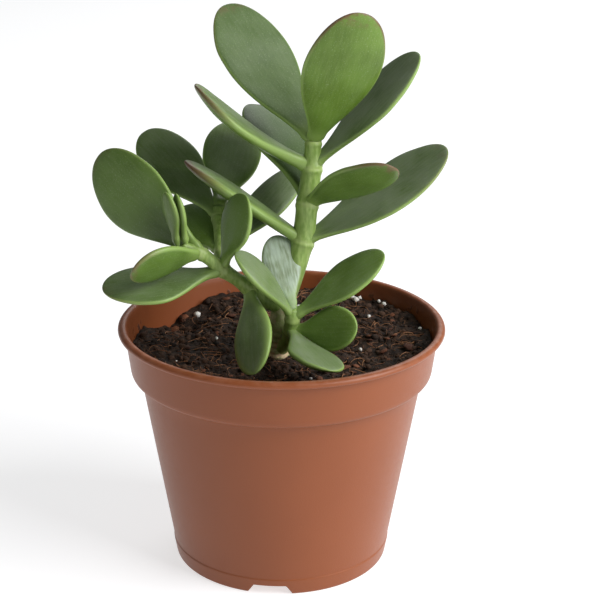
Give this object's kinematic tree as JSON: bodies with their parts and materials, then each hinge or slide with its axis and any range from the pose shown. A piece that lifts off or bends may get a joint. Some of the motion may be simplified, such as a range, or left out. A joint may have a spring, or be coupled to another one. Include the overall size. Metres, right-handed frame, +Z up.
{
  "type": "potted jade plant",
  "caption": "Small jade plant with thick oval leaves in opposite pairs on short fleshy stems, growing in soil in a tapered round plastic nursery pot with a turned-over rim",
  "frame": {"origin": "middle of the pot's centre foot, on the surface that the pot stands on", "axes": "+Z up along the pot's axis; -Y is the front of the plant; +X is its right-hand side seen from the front"},
  "size_m": [0.128, 0.12, 0.2084],
  "materials": {
    "pot_plastic": "satin terracotta-coloured moulded plastic",
    "soil": "damp crumbly peat and coir with perlite",
    "woody_stem": "green above, turning to mottled brown bark at the base",
    "green_stem": "smooth fleshy stem with ring scars",
    "leaf": "waxy satin leaf with a pale lime margin"
  },
  "bodies": {
    "root": {"pot": "pot_plastic", "soil": "soil", "trunk": "woody_stem", "left_branch": "green_stem", "back_shoot": "green_stem", "front_shoot": "green_stem", "leaf_branch_back": "leaf", "leaf_branch_front": "leaf", "leaf_branch_hanging": "leaf", "leaf_branch_low": "leaf", "leaf_branch_upright": "leaf", "leaf_crown_back": "leaf", "leaf_crown_front": "leaf", "leaf_front_left": "leaf", "leaf_front_low": "leaf", "leaf_front_right": "leaf", "leaf_front_round": "leaf", "leaf_front_upright": "leaf", "leaf_lower_left": "leaf", "leaf_lower_right": "leaf", "leaf_middle_back": "leaf", "leaf_middle_front": "leaf", "leaf_shoot_far": "leaf", "leaf_shoot_left": "leaf", "leaf_shoot_right": "leaf", "leaf_shoot_top": "leaf", "leaf_upper_left": "leaf", "leaf_upper_right": "leaf", "leaf_young_inner": "leaf", "leaf_young_outer": "leaf"}
  },
  "joints": []
}
